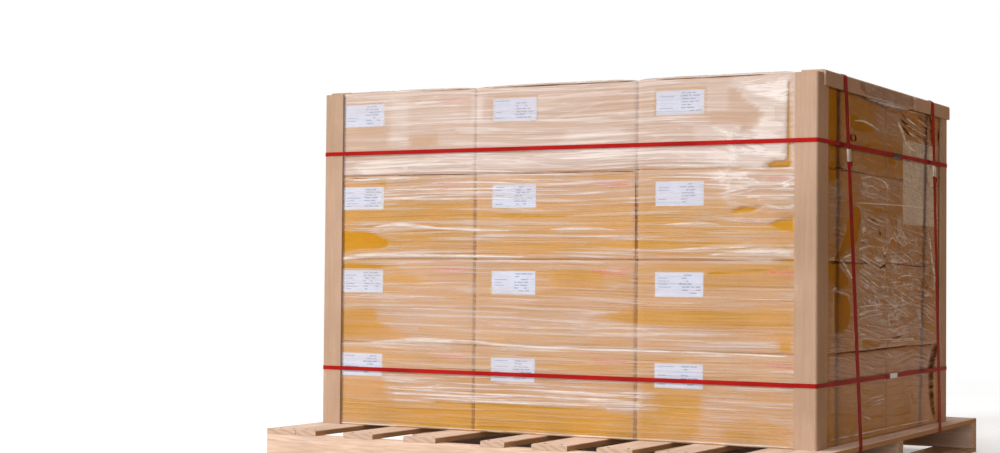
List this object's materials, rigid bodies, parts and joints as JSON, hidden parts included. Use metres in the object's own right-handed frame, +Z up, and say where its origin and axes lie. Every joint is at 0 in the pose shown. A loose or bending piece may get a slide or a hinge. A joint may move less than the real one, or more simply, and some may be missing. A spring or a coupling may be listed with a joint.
{
  "type": "shrink wrapped pallet load",
  "caption": "Wrapped and strapped block of cardboard cartons on a light timber pallet, with angle boards along its upright corners and the top edges of its shorter sides.",
  "frame": {"origin": "on the floor, under the middle of the pallet", "axes": "+Z up, +X along the stringers towards the end that the straps' seals are on, +Y along the deck boards towards the back"},
  "size_m": [1.2022, 1.2, 0.8168],
  "materials": {
    "stringer_timber": "sawn softwood",
    "bottom_board_timber": "sawn softwood",
    "deck_board_timber": "sawn softwood",
    "carton_board": "plain brown board",
    "label_paper": "matt white paper",
    "sheet_paper": "matt white paper",
    "film": "clear stretched film",
    "angle_board": "laminated kraft board",
    "level_strap_band": "smooth red band",
    "upright_strap_band": "smooth red band",
    "strap_seal": "bright zinc"
  },
  "bodies": {
    "root": {"stringer_front": "stringer_timber", "stringer_middle": "stringer_timber", "stringer_back": "stringer_timber", "bottom_board_left": "bottom_board_timber", "bottom_board_middle": "bottom_board_timber", "bottom_board_right": "bottom_board_timber", "deck_board_01": "deck_board_timber", "deck_board_02": "deck_board_timber", "deck_board_03": "deck_board_timber", "deck_board_04": "deck_board_timber", "deck_board_05": "deck_board_timber", "deck_board_06": "deck_board_timber", "deck_board_07": "deck_board_timber", "deck_board_08": "deck_board_timber", "deck_board_09": "deck_board_timber", "deck_board_10": "deck_board_timber", "carton_layer1_front_1": "carton_board", "carton_layer1_front_2": "carton_board", "carton_layer1_front_3": "carton_board", "carton_layer1_back_1": "carton_board", "carton_layer1_back_2": "carton_board", "carton_layer1_back_3": "carton_board", "carton_layer2_front_1": "carton_board", "carton_layer2_front_2": "carton_board", "carton_layer2_front_3": "carton_board", "carton_layer2_back_1": "carton_board", "carton_layer2_back_2": "carton_board", "carton_layer2_back_3": "carton_board", "carton_layer3_front_1": "carton_board", "carton_layer3_front_2": "carton_board", "carton_layer3_front_3": "carton_board", "carton_layer3_back_1": "carton_board", "carton_layer3_back_2": "carton_board", "carton_layer3_back_3": "carton_board", "carton_layer4_front_1": "carton_board", "carton_layer4_front_2": "carton_board", "carton_layer4_front_3": "carton_board", "carton_layer4_back_1": "carton_board", "carton_layer4_back_2": "carton_board", "carton_layer4_back_3": "carton_board", "carton_labels": "label_paper", "packing_sheet": "sheet_paper", "stretch_film": "film", "corner_board_front_left": "angle_board", "corner_board_front_right": "angle_board", "corner_board_back_left": "angle_board", "corner_board_back_right": "angle_board", "top_edge_board_long_left": "angle_board", "top_edge_board_long_right": "angle_board", "top_edge_board_short_left": "angle_board", "top_edge_board_short_right": "angle_board", "level_strap_lower": "level_strap_band", "level_strap_upper": "level_strap_band", "upright_strap_near": "upright_strap_band", "upright_strap_far": "upright_strap_band", "level_seal_lower": "strap_seal", "level_seal_upper": "strap_seal", "upright_seal_near": "strap_seal", "upright_seal_far": "strap_seal"}
  },
  "joints": []
}
